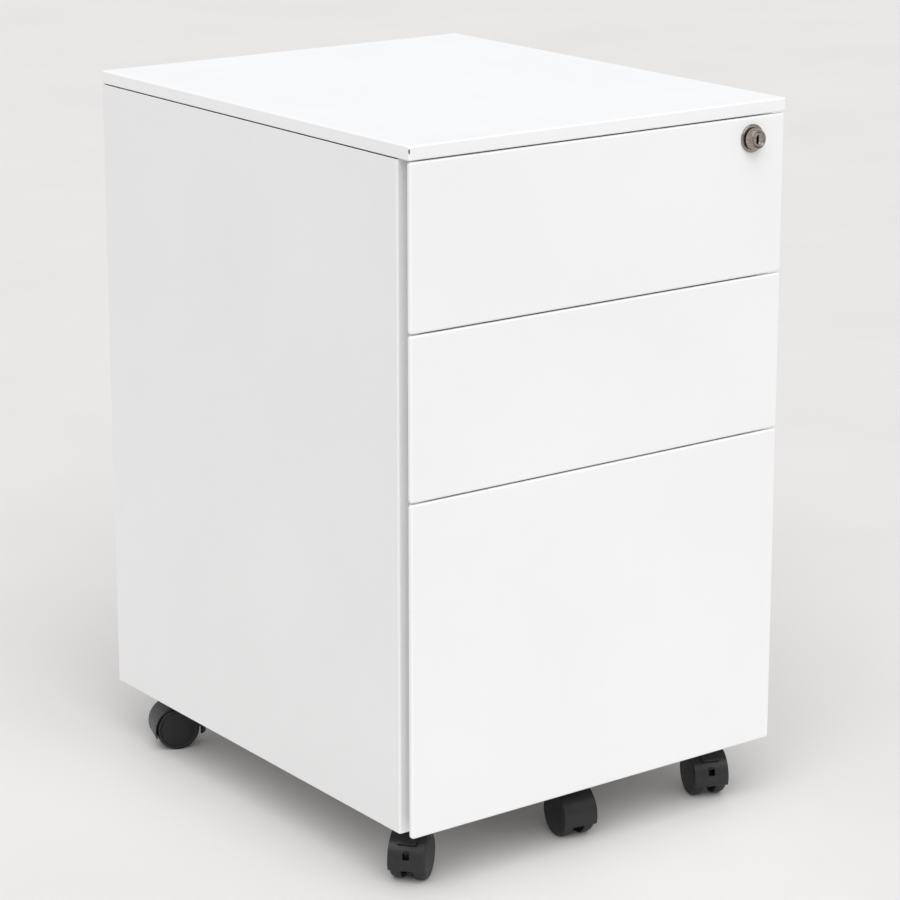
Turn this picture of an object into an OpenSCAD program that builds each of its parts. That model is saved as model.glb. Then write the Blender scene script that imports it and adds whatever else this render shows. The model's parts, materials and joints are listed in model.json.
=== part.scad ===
// Mobile pedestal filing cabinet in folded sheet steel: two box drawers over a file drawer, a lock
// with a bar that holds all three drawers, and five twin-wheel casters.
// The origin is on the floor, in the middle of the footprint. The drawers open towards -Y.

/* [Cabinet] */
// Overall width
cabinet_w = 390; // [380:5:420]
// Depth from the drawer faces to the back panel
cabinet_d = 468; // [464:2:520]
// Overall height
cabinet_h = 625; // [605:5:665]
// Height of the top plate's edge
top_t = 11.5; // [10:0.5:14]
// Dark gap between the side panels and the top plate
top_shadow = 0.8; // [0.7:0.1:1.5]
// Thickness of the sheet steel
sheet = 1; // [0.8:0.1:1.2]
// Distance from the drawer faces to the front edge of the side panels
standoff = 16; // [16:0.5:20]
// Width of the folded front posts of the side panels
post_w = 15; // [15:0.5:16]

/* [Drawers] */
// Height of the two upper drawer fronts
small_front_h = 136.5; // [131:0.5:140]
// Gap between neighbouring fronts
front_gap = 1.2; // [1:0.1:3]
// Amount by which a front stops short of the cabinet's side
side_reveal = 1; // [0.5:0.5:2]
// Depth of the folded edge around a drawer front
front_edge = 5; // [4.5:0.5:6]
// Height of the two upper drawer trays
small_tray_h = 100; // [90:1:102]
// Height of the file drawer's tray
file_tray_h = 240; // [220:1:245]
// Length of the drawer trays
tray_len = 400; // [380:1:410]

/* [Slides] */
// Thickness of a drawer slide
slide_t = 12.7; // [12.7:0.1:13]
// Height of the upper drawers' slides
small_slide_h = 35; // [35:1:38]
// Height of the file drawer's slides
file_slide_h = 46; // [46:1:50]

/* [Lock] */
// Distance of the lock's axis from the middle of the cabinet
lock_x = 157; // [152:1:160]
// Distance of the lock's axis below the top edge of the upper drawer front
lock_drop = 18; // [18:0.5:20]
// Diameter of the flange
lock_flange_d = 24; // [22:0.5:28]
// Diameter of the raised nose at its foot
lock_nose_d = 19; // [18:0.5:20]
// Height of the nose above the drawer face
lock_proud = 9; // [7:0.5:10]
// Lift of the lock bar
bar_lift = 8; // [7:0.5:8]

/* [Casters] */
// Diameter of the wheels
wheel_d = 40; // [38:0.5:40]
// Width of each wheel
wheel_w = 10.5; // [10:0.5:11]
// Width of the gap between the two wheels of a caster
wheel_gap = 10.5; // [10.5:0.5:12]
// Distance from the swivel axis to the axle
trail = 14; // [13.5:0.5:15]
// Height of the carcass above the floor
base_z = 53; // [53:1:60]
// Distance of the swivel axes from the cabinet's sides
caster_inset_x = 40; // [38:1:50]
// Distance of the front swivel axes from the drawer faces
caster_inset_front = 49; // [45:1:55]
// Distance of the rear swivel axes from the back panel
caster_inset_back = 60; // [45:1:65]
// Direction in which the front left caster trails, as an angle from +X
trail_front_left = 220; // [0:1:359]
// Direction in which the front right caster trails
trail_front_right = 250; // [0:1:359]
// Direction in which the back left caster trails
trail_back_left = 161; // [0:1:359]
// Direction in which the back right caster trails
trail_back_right = 140; // [0:1:359]
// Direction in which the file drawer's caster trails
trail_middle = 260; // [0:1:359]

/* [Hidden] */

paint = [0.95, 0.95, 0.95];
paint_side = [0.89, 0.89, 0.88];
zinc = [0.72, 0.73, 0.75];
nickel = [0.70, 0.64, 0.58];
black_plastic = [0.12, 0.12, 0.13];
grey_plastic = [0.45, 0.46, 0.48];

$fn = 64;
cut = 1; // a cutting tool runs this far past a surface

// Cabinet
half_w = cabinet_w / 2;
back_y = (cabinet_d + lock_proud) / 2;
face_y = back_y - cabinet_d;
body_y = face_y + standoff; // front edge of the side panels
post_x = half_w - post_w; // inner edge of the front posts
post_depth = 10;
top_z = cabinet_h - top_t; // underside of the top plate
side_top = top_z - top_shadow;
top_lip = 40;
rear_flange = 15;
pan_flange = 12;

// Drawer fronts, from the top down: bottom and top edge of each
top_front = [top_z - front_gap - small_front_h, top_z - front_gap];
middle_front = [top_front[0] - front_gap - small_front_h, top_front[0] - front_gap];
file_front = [base_z, middle_front[0] - front_gap];
front_half = half_w - side_reveal;
front_hem = 10;
liner_half = post_x - 0.5;
liner_inset = 3; // from the front's top and bottom edges

// Drawer trays: bottom and top edge of each
tray_lift = 7;
tray_half = post_x - slide_t;
top_tray = [top_front[0] + tray_lift, top_front[0] + tray_lift + small_tray_h];
middle_tray = [middle_front[0] + tray_lift, middle_front[0] + tray_lift + small_tray_h];
file_tray_lift = 13;
file_tray = [base_z + file_tray_lift, base_z + file_tray_lift + file_tray_h];
tray_hem = 1.4;
tray_hem_h = 8;

// Slides
slide_y = body_y + 10.5;
slide_len = tray_len - 14;
slide_sheet = 1.2;
top_slide_z = (top_tray[0] + top_tray[1]) / 2 - 3;
middle_slide_z = top_slide_z - small_front_h - front_gap;
file_slide_z = file_tray[0] + 115;

// Uprights
upright_w = 30;
upright_front_y = body_y + 20;
upright_back_y = back_y - 90;
upright_bottom = base_z + pan_flange;
upright_top = side_top - 12;

// Top rails
rail_w = 27;
rail_drop = 10;
rail_front_y = body_y + 1.5;
rail_back_y = back_y - 2 * sheet - rail_w - 1;
screw_x = 120;
screw_r = 2.5;

// Lock
lock_z = top_front[1] - lock_drop;
housing_r = 8;
housing_back = body_y + 4;
plug_r = 6.25;
running_gap = 0.05;
keyway = [2.4, 7, 8]; // width, height and depth
cam_t = 2;
cam_y = housing_back + 0.2;
cam_reach = half_w - 10 - lock_x;
cam_w = 10;
nut_r = 10.4;
nut_t = 3;

// Lock bar, inside the right front post
bar_x = [half_w - 12, half_w - 4];
bar_y = [body_y + 2, body_y + 5.5];
bar_z = [base_z + 22, side_top - bar_lift - 2];
finger_h = 6;
finger_reach = 12;
bar_play = 0.4;
catch_drop = 35; // of a finger below its slide's axis
top_catch = top_slide_z - catch_drop;
middle_catch = middle_slide_z - catch_drop;
file_catch = file_slide_z - catch_drop - 5;
catches = [top_catch, middle_catch, file_catch];
guide_z = [base_z + 40, middle_slide_z + 40, top_slide_z + 8];

// Casters
wheel_r = wheel_d / 2;
caster_w = wheel_gap + 2 * wheel_w;
hood_gap = 0.7;
hood_t = 1.3;
hood_r = wheel_r + hood_gap + hood_t;
axle_r = 2.5;
axle_half = wheel_gap / 2 + 7;
stem_flange = [base_z - 3, base_z];
stem_flange_r = 10;
pin_r = 3.5;
pin_bottom = 27;
thread_r = 5;
thread_top = base_z + 10.5;
nut_h = 6.8;
hub_r = 6.5;
hub_half = wheel_gap / 2 - 0.35; // the hub is flat where it runs between the wheels
boss_r = 14.5;
boss_z = [wheel_d + hood_gap, stem_flange[0] - 0.5];
apron_t = 1.5;
apron_bottom = 12;
spine_t = 5;
cover_end = -20; // lower end of the cover, as an angle from the trailing direction
cover_start = 125;
hole_angle = 15; // place of the square hole on a braking caster
hole_size = 5.6;
brake_half = 8;
brake_turn = 12;
bracket = [[-40, body_y + 1.5], [40, body_y + 68]]; // corners in plan

front_axis_y = face_y + caster_inset_front;
back_axis_y = back_y - caster_inset_back;
left_x = caster_inset_x - half_w;
right_x = half_w - caster_inset_x;
FRONT_LEFT = [left_x, front_axis_y, trail_front_left];
FRONT_RIGHT = [right_x, front_axis_y, trail_front_right];
BACK_LEFT = [left_x, back_axis_y, trail_back_left];
BACK_RIGHT = [right_x, back_axis_y, trail_back_right];
MIDDLE = [0, front_axis_y, trail_middle];
fixed_casters = [FRONT_LEFT, FRONT_RIGHT, BACK_LEFT, BACK_RIGHT];

// A box between two opposite corners
module box(low, high) {
    translate(low) cube(high - low);
}

// The children and their mirror image
module both_sides() {
    children();
    mirror([1, 0, 0]) children();
}

// A cylinder along Y from y0 to y1
module rod_y(r, y0, y1, x = 0, z = 0) {
    translate([x, y1, z]) rotate([90, 0, 0]) cylinder(r = r, h = y1 - y0);
}

// ---- Carcass ----

// The right-hand side panel. Slots let the cam and the lock fingers through the post.
module side_panel(slots = false) {
    difference() {
        union() {
            box([half_w - sheet, body_y, base_z], [half_w, back_y, side_top]);
            box([post_x, body_y, base_z], [half_w, body_y + sheet, side_top]);
            box([post_x, body_y, base_z], [post_x + sheet, body_y + post_depth, side_top]);
            box([half_w - rear_flange, back_y - sheet, base_z], [half_w, back_y, side_top]);
        }
        if (slots) {
            post_slot(lock_z - cam_reach, lock_z + cam_w / 2 + 2);
            for (z = catches) post_slot(z - finger_h - 1.5, z + bar_lift + 2);
        }
    }
}

// A cutting tool for a slot in the inner wall of the right front post
module post_slot(z0, z1) {
    box([post_x - cut, body_y + sheet + 0.4, z0], [post_x + sheet + cut, body_y + 7, z1]);
}

module side_panel_left() {
    color(paint_side) mirror([1, 0, 0]) side_panel();
}

module side_panel_right() {
    color(paint_side) side_panel(slots = true);
}

module back_panel() {
    inner = half_w - sheet;
    color(paint_side)
        box([-inner, back_y - 2 * sheet, base_z + sheet], [inner, back_y - sheet, side_top]);
}

// A shallow tray, open below, with its edge folded inwards
module top_plate() {
    inner = [half_w - sheet, back_y - sheet];
    lip_y = [face_y + top_lip, back_y - top_lip];
    color(paint) difference() {
        box([-half_w, face_y, top_z], [half_w, back_y, cabinet_h]);
        box([-inner.x, face_y + sheet, top_z + sheet], [inner.x, inner.y, cabinet_h - sheet]);
        box([top_lip - half_w, lip_y[0], top_z - cut], [half_w - top_lip, lip_y[1], top_z + 2 * sheet]);
        top_screw_places() cylinder(r = screw_r, h = 2 * sheet + cut, center = true);
    }
}

// Floor of the carcass, notched at the front posts and for the file drawer's caster bracket
module base_pan() {
    x = half_w - sheet;
    front = body_y + sheet;
    back = back_y - 2 * sheet;
    notch_x = bracket[1].x + 6;
    notch_y = bracket[1].y + 8;
    color(paint_side) difference() {
        box([-x, front, base_z], [x, back, base_z + pan_flange]);
        box([sheet - x, front + sheet, base_z + sheet], [x - sheet, back - sheet, base_z + pan_flange + cut]);
        box([-notch_x, front - cut, base_z - cut], [notch_x, notch_y, base_z + pan_flange + cut]);
        both_sides()
            box([post_x, body_y, base_z - cut], [half_w, body_y + post_depth, base_z + pan_flange + cut]);
        for (p = fixed_casters) translate([p.x, p.y, base_z]) cylinder(r = thread_r, h = 3, center = true);
    }
}

module top_rails() {
    color(paint_side) difference() {
        for (y = [rail_front_y, rail_back_y]) top_rail(y);
        top_screw_places() cylinder(r = screw_r, h = 3 * sheet, center = true);
    }
}

// A channel between the posts, open below
module top_rail(y) {
    difference() {
        box([-post_x, y, top_z - rail_drop], [post_x, y + rail_w, top_z]);
        box([-post_x - cut, y + sheet, top_z - rail_drop - cut],
            [post_x + cut, y + rail_w - sheet, top_z - sheet]);
    }
}

// The children at each screw of the top plate, at the plane between rail and plate
module top_screw_places() {
    for (x = [-screw_x, screw_x], y = [rail_front_y + rail_w / 2, rail_back_y + rail_w / 2])
        translate([x, y, top_z]) children();
}

module top_screws() {
    head_r = 4.6;
    head_h = 2.6;
    color(zinc) top_screw_places() {
        translate([0, 0, -sheet - head_h]) cylinder(r = head_r, h = head_h);
        translate([0, 0, -sheet]) cylinder(r = screw_r, h = 6);
    }
}

// Two hat-shaped uprights on the right-hand side panel
module uprights() {
    for (y = [upright_front_y, upright_back_y]) difference() {
        box([post_x, y, upright_bottom], [half_w - sheet, y + upright_w, upright_top]);
        box([post_x + slide_sheet, y + slide_sheet, upright_bottom - cut],
            [half_w, y + upright_w - slide_sheet, upright_top + cut]);
    }
}

module uprights_left() {
    color(zinc) mirror([1, 0, 0]) uprights();
}

module uprights_right() {
    color(zinc) uprights();
}

module base_place(p) {
    translate([p.x, p.y, 0]) rotate(p.z) children();
}

module caster_stems() {
    color(zinc) for (p = fixed_casters) base_place(p) stem();
}

module weld_nuts() {
    color(zinc) for (p = fixed_casters) base_place(p) weld_nut();
}

// Threaded stem with a flange under the sheet and a plain swivel pin below
module stem() {
    translate([0, 0, pin_bottom]) cylinder(r = pin_r, h = stem_flange[0] - pin_bottom);
    translate([0, 0, stem_flange[0]]) cylinder(r = stem_flange_r, h = stem_flange[1] - stem_flange[0]);
    translate([0, 0, base_z]) cylinder(r = thread_r, h = thread_top - base_z);
}

module weld_nut() {
    difference() {
        translate([0, 0, base_z + sheet]) cylinder(r = 9.2, h = nut_h, $fn = 6);
        translate([0, 0, base_z]) cylinder(r = thread_r, h = nut_h + 2 * cut);
    }
}

// ---- Slides ----

// A channel along Y on the right-hand side. Its web is at x[1] if open inwards, else at x[0].
module channel(x, z, h, lip, open_inwards, y = slide_y) {
    web = open_inwards ? [x[1] - slide_sheet, x[1]] : [x[0], x[0] + slide_sheet];
    mouth = open_inwards ? [x[0], x[0] + slide_sheet] : [x[1] - slide_sheet, x[1]];
    top = z + h / 2;
    bottom = z - h / 2;
    end = y + slide_len;
    box([web[0], y, bottom], [web[1], end, top]);
    box([x[0], y, top - slide_sheet], [x[1], end, top]);
    box([x[0], y, bottom], [x[1], end, bottom + slide_sheet]);
    box([mouth[0], y, top - lip], [mouth[1], end, top]);
    box([mouth[0], y, bottom], [mouth[1], end, bottom + lip]);
}

module slides_outer(z, h) {
    color(zinc) both_sides() channel([tray_half + 1.6, post_x], z, h, 4.6, true);
}

module slides_inner(z, h, reach) {
    color(zinc) both_sides() channel([tray_half, tray_half + reach], z, h, 1.2, false);
}

module slides_outer_top() {
    slides_outer(top_slide_z, small_slide_h);
}

module slides_outer_middle() {
    slides_outer(middle_slide_z, small_slide_h);
}

module slides_outer_file() {
    slides_outer(file_slide_z, file_slide_h);
}

module slides_inner_top() {
    slides_inner(top_slide_z, small_slide_h - 11, 9.5);
}

module slides_inner_middle() {
    slides_inner(middle_slide_z, small_slide_h - 11, 9.5);
}

module slides_inner_file() {
    slides_inner(file_slide_z, file_slide_h - 22.4, 6.5);
}

// The telescopic member between the file drawer's outer and inner slides
module slides_middle_file() {
    h = file_slide_h - 11;
    color(zinc) both_sides() channel([tray_half + 1.6, post_x - 2.7], file_slide_z, h, 4.6, true);
}

// ---- Drawers ----

// A folded front: a face, an edge all round and a hem behind it
module drawer_front(z, lock_hole = false) {
    x = front_half;
    back = face_y + front_edge;
    color(paint) difference() {
        box([-x, face_y, z[0]], [x, back, z[1]]);
        box([sheet - x, face_y + sheet, z[0] + sheet], [x - sheet, back - sheet, z[1] - sheet]);
        box([front_hem - x, face_y + sheet, z[0] + front_hem], [x - front_hem, back + cut, z[1] - front_hem]);
        if (lock_hole) rod_y(housing_r, face_y - cut, face_y + 2 * sheet, lock_x, lock_z);
    }
}

// The inner front: a tray that closes the back of the drawer front. Its catch hangs behind the
// finger of the lock bar.
module front_liner(z, catch, lock_hole = false) {
    x = liner_half;
    front = face_y + front_edge;
    low = z[0] + liner_inset;
    high = z[1] - liner_inset;
    color(paint_side) difference() {
        union() {
            box([-x, front, low], [x, body_y, high]);
            box([tray_half + 5, body_y - sheet, catch + bar_lift + 1.5],
                [tray_half + 11, bar_y[1] + 3.5, catch + bar_lift + 3]);
            box([tray_half + 5, bar_y[1] + 1.5, catch + 1.5],
                [tray_half + 11, bar_y[1] + 3.5, catch + bar_lift + 3]);
        }
        box([sheet - x, front - cut, low + sheet], [x - sheet, body_y - sheet, high - sheet]);
        if (lock_hole) rod_y(housing_r, face_y, body_y + cut, lock_x, lock_z);
    }
}

// A folded tray, open at the top, with a hem along its two sides. The cam turns in a notch in the
// right side of the tray behind the lock.
module drawer_tray(z, cam_notch = false) {
    x = tray_half;
    end = body_y + tray_len;
    notch_low = [x - sheet - cut, body_y + sheet, lock_z - cam_reach - 1];
    notch_high = [x + tray_hem + cut, cam_y + 6, z[1] + cut];
    color(paint_side) difference() {
        union() {
            box([-x, body_y, z[0]], [x, end, z[1]]);
            both_sides() box([x - sheet, body_y, z[1] - tray_hem_h], [x + tray_hem, end, z[1]]);
        }
        box([sheet - x, body_y + sheet, z[0] + sheet], [x - sheet, end - sheet, z[1] + cut]);
        if (cam_notch) box(notch_low, notch_high);
    }
}

module drawer_front_top() {
    drawer_front(top_front, lock_hole = true);
}

module drawer_front_middle() {
    drawer_front(middle_front);
}

module drawer_front_file() {
    drawer_front(file_front);
}

module front_liner_top() {
    front_liner(top_front, top_catch, lock_hole = true);
}

module front_liner_middle() {
    front_liner(middle_front, middle_catch);
}

module front_liner_file() {
    front_liner(file_front, file_catch);
}

module drawer_tray_top() {
    drawer_tray(top_tray, cam_notch = true);
}

module drawer_tray_middle() {
    drawer_tray(middle_tray);
}

module drawer_tray_file() {
    drawer_tray(file_tray);
}

// Two rails over the file drawer's side walls, for hanging files
module hanging_rails() {
    z = file_tray[1];
    wall = [tray_half - sheet, tray_half + tray_hem];
    ends = [body_y + 6, body_y + tray_len - 6];
    color(zinc) both_sides() difference() {
        box([wall[0] - 1.2, ends[0], z - 14], [wall[1], ends[1], z + 8]);
        box([wall[0], ends[0] - cut, z - 14 - cut], [wall[1] + cut, ends[1] + cut, z]);
        box([wall[0], ends[0] - cut, z + 1.2], [wall[1] + cut, ends[1] + cut, z + 8 + cut]);
    }
}

// A hat-shaped bracket under the file drawer's tray
module file_caster_bracket() {
    low = bracket[0];
    high = bracket[1];
    wall = 1.5;
    color(zinc) difference() {
        box([low.x, low.y, base_z], [high.x, high.y, file_tray[0]]);
        box([low.x - cut, low.y + wall, base_z + sheet], [high.x + cut, high.y - wall, file_tray[0] + cut]);
        translate([MIDDLE.x, MIDDLE.y, base_z]) cylinder(r = thread_r, h = 3, center = true);
    }
}

module file_caster_stem() {
    color(zinc) base_place(MIDDLE) stem();
}

module file_weld_nut() {
    color(zinc) base_place(MIDDLE) weld_nut();
}

// ---- Lock ----

module lock_housing() {
    flange_t = 2;
    groove_t = 1;
    nose_r = lock_nose_d / 2;
    nose_y = face_y - lock_proud;
    color(nickel) difference() {
        union() {
            rod_y(lock_flange_d / 2, face_y - flange_t, face_y, lock_x, lock_z);
            rod_y(housing_r - 0.4, face_y - flange_t - groove_t, face_y, lock_x, lock_z);
            translate([lock_x, face_y - flange_t - groove_t, lock_z])
                rotate([90, 0, 0])
                    cylinder(r1 = nose_r, r2 = nose_r - 1.3, h = lock_proud - flange_t - groove_t);
            rod_y(housing_r, face_y, housing_back, lock_x, lock_z);
        }
        rod_y(plug_r + running_gap, nose_y - cut, housing_back + cut, lock_x, lock_z);
    }
}

// The plug turns in the housing. A square end drives the cam.
module lock_plug() {
    nose_y = face_y - lock_proud;
    color(nickel) difference() {
        union() {
            rod_y(plug_r, nose_y, cam_y, lock_x, lock_z);
            translate([lock_x, cam_y + cam_t / 2, lock_z]) cube([7, cam_t, 7], center = true);
        }
        translate([lock_x - keyway.x / 2, nose_y - cut, lock_z - keyway.y / 2])
            cube([keyway.x, keyway.z + cut, keyway.y]);
        rod_y(1.5, cam_y - 6, cam_y + cam_t + cut, lock_x, lock_z);
    }
}

module lock_nut() {
    color(zinc) difference() {
        translate([lock_x, body_y + nut_t, lock_z])
            rotate([90, 0, 0]) cylinder(r = nut_r, h = nut_t, $fn = 6);
        rod_y(housing_r, body_y - cut, body_y + nut_t + cut, lock_x, lock_z);
    }
}

module lock_cam() {
    color(zinc) difference() {
        union() {
            rod_y(cam_w / 2 + 1.5, cam_y, cam_y + cam_t, lock_x, lock_z);
            box([lock_x - cam_w / 2, cam_y, lock_z - cam_reach], [lock_x + cam_w / 2, cam_y + cam_t, lock_z]);
        }
        translate([lock_x, cam_y + cam_t / 2, lock_z]) cube([7, cam_t + cut, 7], center = true);
    }
}

module cam_screw() {
    color(zinc) {
        rod_y(1.5, cam_y - 6, cam_y + cam_t, lock_x, lock_z);
        rod_y(5.4, cam_y + cam_t, cam_y + cam_t + 1.8, lock_x, lock_z);
    }
}

// A flat bar with a notch for the cam and one finger for each drawer
module lock_bar() {
    notch = [lock_z - cam_reach, lock_z + cam_w / 2 - bar_lift + 1];
    color(zinc) difference() {
        union() {
            box([bar_x[0], bar_y[0], bar_z[0]], [bar_x[1], bar_y[1], bar_z[1]]);
            for (z = catches)
                box([bar_x[0] - finger_reach, bar_y[0], z - finger_h], [bar_x[0] + 1, bar_y[1], z]);
        }
        box([bar_x[0] - cut, bar_y[0] - cut, notch[0]], [bar_x[0] + 4.5, bar_y[1] + cut, notch[1]]);
    }
}

// Blocks on the side panel that the lock bar slides in
module lock_bar_guides() {
    h = 12;
    color(grey_plastic) for (z = guide_z) difference() {
        box([bar_x[0] - 0.5, bar_y[0] - 0.8, z], [half_w - sheet, bar_y[1] + 3, z + h]);
        box([bar_x[0] - cut, bar_y[0] - bar_play, z - cut],
            [bar_x[1] + bar_play, bar_y[1] + bar_play, z + h + cut]);
    }
}

// ---- Casters ----
// In a caster's own frame the swivel axis is the Z axis and the wheels trail towards +X.

// The profile of a ring about the axle from one angle to another, or of a disc if r_in is 0
module ring_sector(r_in, r_out, from, to) {
    reach = 2 * r_out;
    intersection() {
        difference() {
            circle(r_out);
            if (r_in > 0) circle(r_in);
        }
        polygon([
            [0, 0],
            for (i = [0:4]) let (a = from + (to - from) * i / 4) reach * [cos(a), sin(a)]
        ]);
    }
}

// Extrudes a profile in the XZ plane about the axle to a width across the caster
module across(width) {
    translate([trail, width / 2, wheel_r]) rotate([90, 0, 0]) linear_extrude(width) children();
}

// The socket of the swivel pin, as narrow as the gap between the wheels
module swivel_hub() {
    intersection() {
        translate([0, 0, apron_bottom]) cylinder(r = hub_r, h = boss_z[0] + 1 - apron_bottom);
        box([-hub_r, -hub_half, 0], [hub_r, hub_half, boss_z[1]]);
    }
}

module caster_hood(brake = false) {
    difference() {
        union() {
            across(caster_w) ring_sector(wheel_r + hood_gap, hood_r, cover_end, cover_start);
            across(spine_t) ring_sector(0, hood_r - hood_t / 2, cover_end + 4, cover_start + 40);
            swivel_hub();
            translate([0, 0, boss_z[0]]) cylinder(r = boss_r, h = boss_z[1] - boss_z[0]);
            intersection() {
                difference() {
                    translate([0, 0, apron_bottom]) cylinder(r = boss_r, h = boss_z[0] + 1 - apron_bottom);
                    translate([0, 0, apron_bottom - cut]) cylinder(r = boss_r - apron_t, h = 50);
                }
                translate([-boss_r - cut, -boss_r, 0]) cube([boss_r + cut - 8, 2 * boss_r, 50]);
            }
            across(spine_t) circle(axle_r + 3.5);
        }
        translate([0, 0, pin_bottom - 1]) cylinder(r = pin_r + running_gap, h = 50);
        across(spine_t + 2 * cut) circle(axle_r);
        if (brake) {
            across(hole_size) rotate(hole_angle) translate([hood_r, 0]) square([6, hole_size], center = true);
            across(4.4) ring_sector(wheel_r - 1.5, hood_r + cut, 52, 84);
        }
    }
}

// The lever rests on the cover and turns about the axle. Its tongue runs in the cover's slot.
module brake_lever() {
    across(2 * brake_half) ring_sector(hood_r + 0.35, hood_r + 1.8, 42, 80);
    across(2 * brake_half) ring_sector(hood_r + 0.35, hood_r + 3.6, 40, 46);
    across(3) ring_sector(wheel_r, hood_r + 1, 70, 78);
}

module caster_axle() {
    across(2 * axle_half) circle(axle_r);
}

// A wheel on the +Y side of the caster, with a closed, slightly domed outer face
module wheel() {
    inner = wheel_gap / 2;
    outer = inner + wheel_w;
    bore = axle_r + running_gap;
    bore_end = axle_half + 0.4;
    translate([trail, 0, wheel_r]) rotate([-90, 0, 0]) rotate_extrude($fn = 96) polygon([
        [bore, inner], [5.5, inner], [5.5, inner + 3], [wheel_r - 3.5, inner + 3],
        [wheel_r - 3.5, inner], [wheel_r - 0.8, inner], [wheel_r, inner + 0.8],
        [wheel_r, outer - 3.2], [wheel_r - 0.5, outer - 2], [wheel_r - 1.8, outer - 0.9],
        [wheel_r - 4, outer - 0.35], [wheel_r / 2, outer - 0.1], [0, outer], [0, bore_end], [bore, bore_end]
    ]);
}

module hood_at(p, brake = false) {
    color(black_plastic) base_place(p) caster_hood(brake);
}

module axle_at(p) {
    color(zinc) base_place(p) caster_axle();
}

module wheel_at(p, side) {
    color(black_plastic) base_place(p) if (side > 0) wheel(); else mirror([0, 1, 0]) wheel();
}

module lever_at(p) {
    color(black_plastic) base_place(p) brake_lever();
}

side_panel_left();
side_panel_right();
back_panel();
top_plate();
base_pan();
top_rails();
uprights_left();
uprights_right();
top_screws();
slides_outer_top();
slides_outer_middle();
slides_outer_file();
lock_bar();
lock_bar_guides();
caster_stems();
weld_nuts();
drawer_front_top();
front_liner_top();
drawer_tray_top();
slides_inner_top();
drawer_front_middle();
front_liner_middle();
drawer_tray_middle();
slides_inner_middle();
drawer_front_file();
front_liner_file();
drawer_tray_file();
slides_inner_file();
slides_middle_file();
hanging_rails();
file_caster_bracket();
file_caster_stem();
file_weld_nut();
lock_housing();
lock_plug();
lock_nut();
lock_cam();
cam_screw();
hood_at(FRONT_LEFT, brake = true);  // hood_front_left
axle_at(FRONT_LEFT);  // axle_front_left
wheel_at(FRONT_LEFT, 1);  // wheel_a_front_left
wheel_at(FRONT_LEFT, -1);  // wheel_b_front_left
hood_at(FRONT_RIGHT, brake = true);  // hood_front_right
axle_at(FRONT_RIGHT);  // axle_front_right
wheel_at(FRONT_RIGHT, 1);  // wheel_a_front_right
wheel_at(FRONT_RIGHT, -1);  // wheel_b_front_right
hood_at(MIDDLE);  // hood_middle
axle_at(MIDDLE);  // axle_middle
wheel_at(MIDDLE, 1);  // wheel_a_middle
wheel_at(MIDDLE, -1);  // wheel_b_middle
hood_at(BACK_LEFT);  // hood_back_left
axle_at(BACK_LEFT);  // axle_back_left
wheel_at(BACK_LEFT, 1);  // wheel_a_back_left
wheel_at(BACK_LEFT, -1);  // wheel_b_back_left
hood_at(BACK_RIGHT);  // hood_back_right
axle_at(BACK_RIGHT);  // axle_back_right
wheel_at(BACK_RIGHT, 1);  // wheel_a_back_right
wheel_at(BACK_RIGHT, -1);  // wheel_b_back_right
lever_at(FRONT_LEFT);  // brake_lever_left
lever_at(FRONT_RIGHT);  // brake_lever_right
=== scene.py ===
"""The looks of a mobile pedestal filing cabinet: folded and powder-coated sheet steel, zinc-plated slides,
a nickel-plated cylinder lock and twin-wheel casters of moulded plastic. Lengths are in metres."""

import json
from math import asin, cos, degrees, pi, radians, sin, tan

import bmesh
import bpy
from mathutils import Matrix, Vector


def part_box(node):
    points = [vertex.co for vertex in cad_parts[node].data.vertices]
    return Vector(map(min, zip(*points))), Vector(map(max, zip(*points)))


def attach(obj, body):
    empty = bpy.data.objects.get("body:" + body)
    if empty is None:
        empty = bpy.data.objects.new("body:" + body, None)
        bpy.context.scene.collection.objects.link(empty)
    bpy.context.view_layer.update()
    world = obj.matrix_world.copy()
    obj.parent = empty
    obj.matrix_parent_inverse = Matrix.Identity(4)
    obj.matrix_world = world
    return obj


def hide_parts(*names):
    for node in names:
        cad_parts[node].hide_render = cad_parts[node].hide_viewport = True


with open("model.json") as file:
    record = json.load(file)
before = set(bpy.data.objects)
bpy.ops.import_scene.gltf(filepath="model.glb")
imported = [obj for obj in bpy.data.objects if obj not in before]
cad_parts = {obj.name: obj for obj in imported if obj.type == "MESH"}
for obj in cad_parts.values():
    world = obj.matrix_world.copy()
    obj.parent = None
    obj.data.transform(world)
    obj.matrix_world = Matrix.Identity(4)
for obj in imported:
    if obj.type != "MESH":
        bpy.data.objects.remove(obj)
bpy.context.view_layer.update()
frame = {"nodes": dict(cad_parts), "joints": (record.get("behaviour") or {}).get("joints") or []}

MM = 0.001
SHEET = 1.0 * MM
BEND = 1.8 * MM  # outer radius of a fold in the sheet
CUT_EDGE = 0.2 * MM  # rounding of a cut edge
CORNER = 2.6 * MM  # corners of a drawer front, seen from in front
FRONT_HEM = 10 * MM
TOP_LIP = 40 * MM
TRAY_HEM = 8 * MM
SLIDE_SHEET = 1.2 * MM
SHARP = 40  # degrees between two faces that meet at a sharp edge
CATCHES = (494.8 * MM, 357.1 * MM, 141 * MM)  # height of each finger of the lock bar

CAMERA_AT = (-1.5436, -2.1159, 1.0477)
CAMERA_YAW = radians(36.34)  # to the right of +Y
CAMERA_PITCH = radians(14.31)  # below the horizontal
CAMERA_LENS = 122.6
CAMERA_SHIFT = -0.1
FLOOR_HALF = 14.0


# ---- Outlines ----

def arc(centre, radius, start, end, steps=5):
    """Points on an arc, from one angle in degrees to another."""
    angles = [radians(start + (end - start) * i / steps) for i in range(steps + 1)]
    return [(centre[0] + radius * cos(a), centre[1] + radius * sin(a)) for a in angles]


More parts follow.
